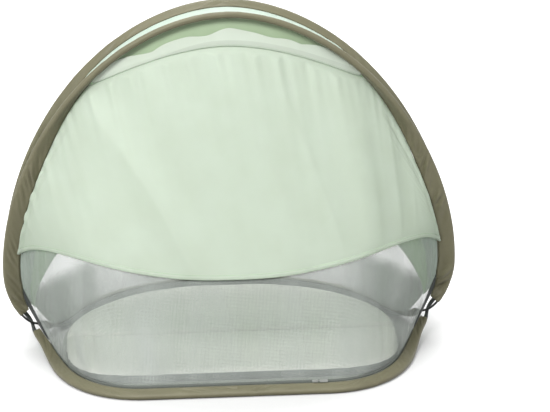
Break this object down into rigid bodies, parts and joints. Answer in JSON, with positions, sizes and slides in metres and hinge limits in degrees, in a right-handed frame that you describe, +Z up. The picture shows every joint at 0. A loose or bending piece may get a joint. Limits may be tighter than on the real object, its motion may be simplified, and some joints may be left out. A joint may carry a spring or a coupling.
{
  "type": "baby travel tent",
  "caption": "Free-standing pop-up baby tent on two crossed hoops, with a net door, a sun shade over it, a cloth back and a padded folding floor.",
  "frame": {"origin": "middle of the floor's underside, 25 mm behind the crease where the tent folds", "axes": "+X to the right of a viewer who faces the door, +Y to the back, +Z up; the door faces -Y"},
  "size_m": [0.8886, 0.6682, 0.6787],
  "materials": {
    "steel_wire": "black coated spring steel",
    "olive_sleeve": "woven polyester, matte",
    "mint_cloth": "coated woven polyester, soft sheen",
    "mint_lining": "coated woven polyester in shade",
    "net": "fine knitted netting",
    "charcoal_tape": "woven tape, matte",
    "floor_cloth": "coated woven polyester, matte",
    "pad_cover": "soft woven polyester over thin foam",
    "crimp": "zinc plated",
    "zip_metal": "die-cast zinc, satin"
  },
  "bodies": {
    "rear_half": {"rear_arch_wire": "steel_wire", "rear_base_wire": "steel_wire", "rear_arch_sleeve": "olive_sleeve", "rear_base_sleeve": "olive_sleeve", "rear_canopy": "mint_cloth", "rear_net": "net", "roof_gusset": "mint_cloth", "rear_floor": "floor_cloth", "rear_pad": "pad_cover", "rear_kerb": "floor_cloth", "rear_wire_cover_left": "charcoal_tape", "rear_wire_cover_right": "charcoal_tape", "rear_ferrule": "crimp"},
    "front_half": {"front_arch_wire": "steel_wire", "front_base_wire": "steel_wire", "front_arch_sleeve": "olive_sleeve", "front_base_sleeve": "olive_sleeve", "valance": "mint_lining", "header_band": "mint_cloth", "front_floor": "floor_cloth", "front_pad": "pad_cover", "front_kerb": "floor_cloth", "front_wire_cover_left": "charcoal_tape", "front_wire_cover_right": "charcoal_tape", "front_ferrule": "crimp", "zip_chain": "charcoal_tape"},
    "front_door": {"door_net": "net", "door_binding_left": "charcoal_tape", "door_binding_right": "charcoal_tape"},
    "sun_shade_panel": {"sun_shade": "mint_cloth", "shade_hem": "mint_cloth"},
    "zip_slider_body": {"zip_slider": "zip_metal"},
    "zip_pull_body": {"zip_pull": "zip_metal"}
  },
  "joints": [
    {"name": "half_fold", "type": "hinge", "parent": "rear_half", "child": "front_half", "pos_m": [0, -0.025, 0.046], "axis": [-1, 0, 0], "range_deg": [0, 8], "deforming": ["roof_gusset"]},
    {"name": "door_lift", "type": "hinge", "parent": "front_half", "child": "front_door", "pos_m": [0, -0.09048, 0.61338], "axis": [-1, 0, 0], "range_deg": [0, 75]},
    {"name": "shade_lift", "type": "hinge", "parent": "front_door", "child": "sun_shade_panel", "pos_m": [0, -0.0917, 0.61382], "axis": [-1, 0, 0], "range_deg": [0, 60]},
    {"name": "zip_run", "type": "slide", "parent": "front_half", "child": "zip_slider_body", "axis": [-1, 0, 0], "range_m": [0, 0.29]},
    {"name": "pull_swing", "type": "hinge", "parent": "zip_slider_body", "child": "zip_pull_body", "pos_m": [0.14496, -0.312, 0.01883], "axis": [0, -0.3777, -0.9259], "range_deg": [0, 150]}
  ]
}
